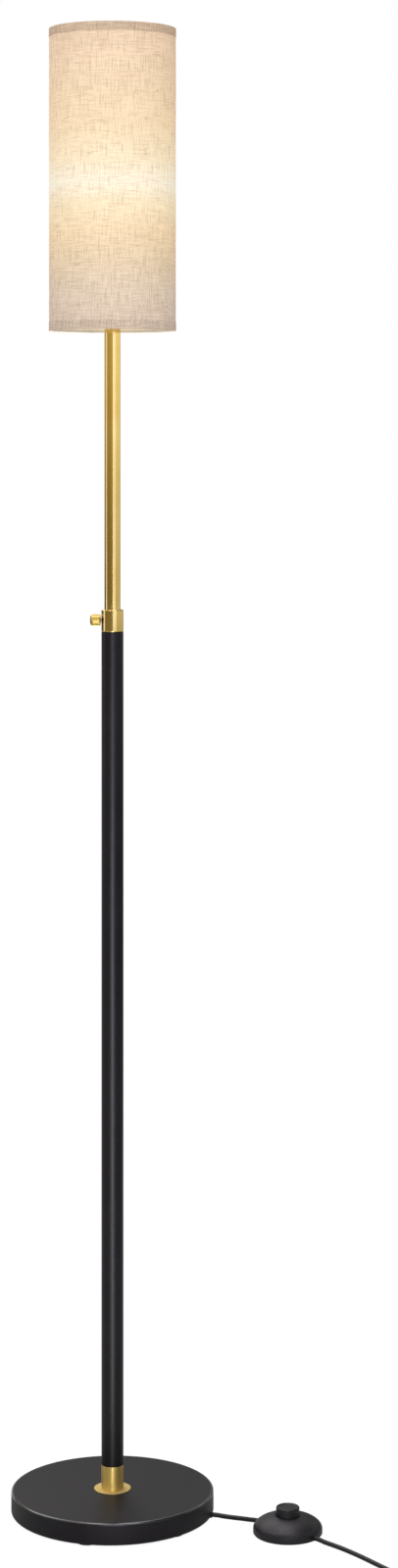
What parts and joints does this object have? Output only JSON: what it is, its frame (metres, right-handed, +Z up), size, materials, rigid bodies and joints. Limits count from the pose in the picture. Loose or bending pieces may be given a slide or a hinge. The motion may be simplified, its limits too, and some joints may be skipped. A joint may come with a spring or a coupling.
{
  "type": "telescopic floor lamp",
  "caption": "Slim telescopic floor lamp with a weighted disc base, a sliding brass pole in a clamp collar, a tall linen drum shade and a corded foot switch.",
  "frame": {"origin": "on the axis of the stand tube, at the floor, under the middle of the round base", "axes": "+Z up along the stand tube and the pole; -X is the side of the thumb screw, and the cord leaves the base towards +X; -Y faces the camera of the picture"},
  "size_m": [0.4475, 0.3086, 1.4828],
  "materials": {
    "black_paint": "matt black powder coat with a fine grain",
    "brass": "satin brass plating, faintly drawn along the tubes",
    "zinc_steel": "zinc plated",
    "shade_wire": "white powder-coated wire",
    "cast_iron": "rough cast",
    "rubber": "matt",
    "nylon": "moulded, natural",
    "holder_plastic": "moulded",
    "ceramic": "glazed steatite",
    "contact_brass": "stamped sheet",
    "plug_brass": "nickel-tinted stamped blades",
    "bulb_shell": "rolled thread",
    "bulb_plastic": "smooth moulded",
    "bulb_diffuser": "opal diffuser, lit warm",
    "linen": "slubbed linen weave over a film, lit from within",
    "trim_tape": "folded linen trim",
    "shade_film": "translucent styrene film",
    "switch_plastic": "moulded, satin",
    "cartridge_plastic": "moulded",
    "cord_sheath": "smooth satin sheath",
    "plug_plastic": "moulded, satin"
  },
  "bodies": {
    "stand": {"base_pads": "rubber", "base_plate": "zinc_steel", "plate_screws": "zinc_steel", "base_weight": "cast_iron", "base_cover": "black_paint", "base_flange": "brass", "base_nipple": "zinc_steel", "base_nut": "zinc_steel", "base_washer": "zinc_steel", "base_sleeve": "brass", "foot_plug": "zinc_steel", "stand_tube": "black_paint", "clamp_collar": "brass", "cord_bush": "rubber", "base_lead": "cord_sheath", "stand_lead": "cord_sheath", "switch_tray": "switch_plastic", "switch_cover": "switch_plastic", "switch_spring": "zinc_steel", "switch_cartridge": "cartridge_plastic", "switch_terminals": "contact_brass", "switch_screws": "zinc_steel", "switch_bushes": "rubber", "cord_lamp_side": "cord_sheath", "cord_plug_side": "cord_sheath", "cord_coil": "cord_sheath", "cord_tail": "cord_sheath", "plug_body": "plug_plastic", "plug_blades": "plug_brass"},
    "screw": {"thumb_screw": "brass"},
    "liner": {"slide_liner": "nylon"},
    "pole": {"pole_tube": "brass", "guide_ring": "nylon", "head_plug": "zinc_steel", "head_nipple": "zinc_steel", "pole_lead": "cord_sheath", "holder_cap": "holder_plastic", "holder_body": "holder_plastic", "holder_core": "ceramic", "screw_shell": "contact_brass", "centre_contact": "contact_brass", "clamp_ring": "holder_plastic", "shade_frame": "shade_wire", "shade_top_ring": "shade_wire", "shade_liner": "shade_film", "shade_linen": "linen", "shade_trims": "trim_tape", "bulb_cap": "bulb_shell", "bulb_body": "bulb_plastic", "bulb_globe": "bulb_diffuser"},
    "button": {"switch_button": "switch_plastic"}
  },
  "joints": [
    {"name": "pole_turn", "type": "hinge", "parent": "stand", "child": "liner", "pos_m": [0, 0, 0.8802], "axis": [0, 0, 1], "range_deg": [-175, 175]},
    {"name": "pole_slide", "type": "slide", "parent": "liner", "child": "pole", "axis": [0, 0, 1], "range_m": [-0.27, 0], "deforming": ["stand_lead"]},
    {"name": "screw_turn", "type": "hinge", "parent": "stand", "child": "screw", "pos_m": [-0.011, 0, 0.8918], "axis": [-1, 0, 0], "range_deg": [0, 540]},
    {"name": "button_press", "type": "slide", "parent": "stand", "child": "button", "axis": [0, 0, 1], "range_m": [-0.0035, 0], "stiffness_N_per_m": 1200, "springref_m": 0.004, "deforming": ["switch_spring"]}
  ]
}
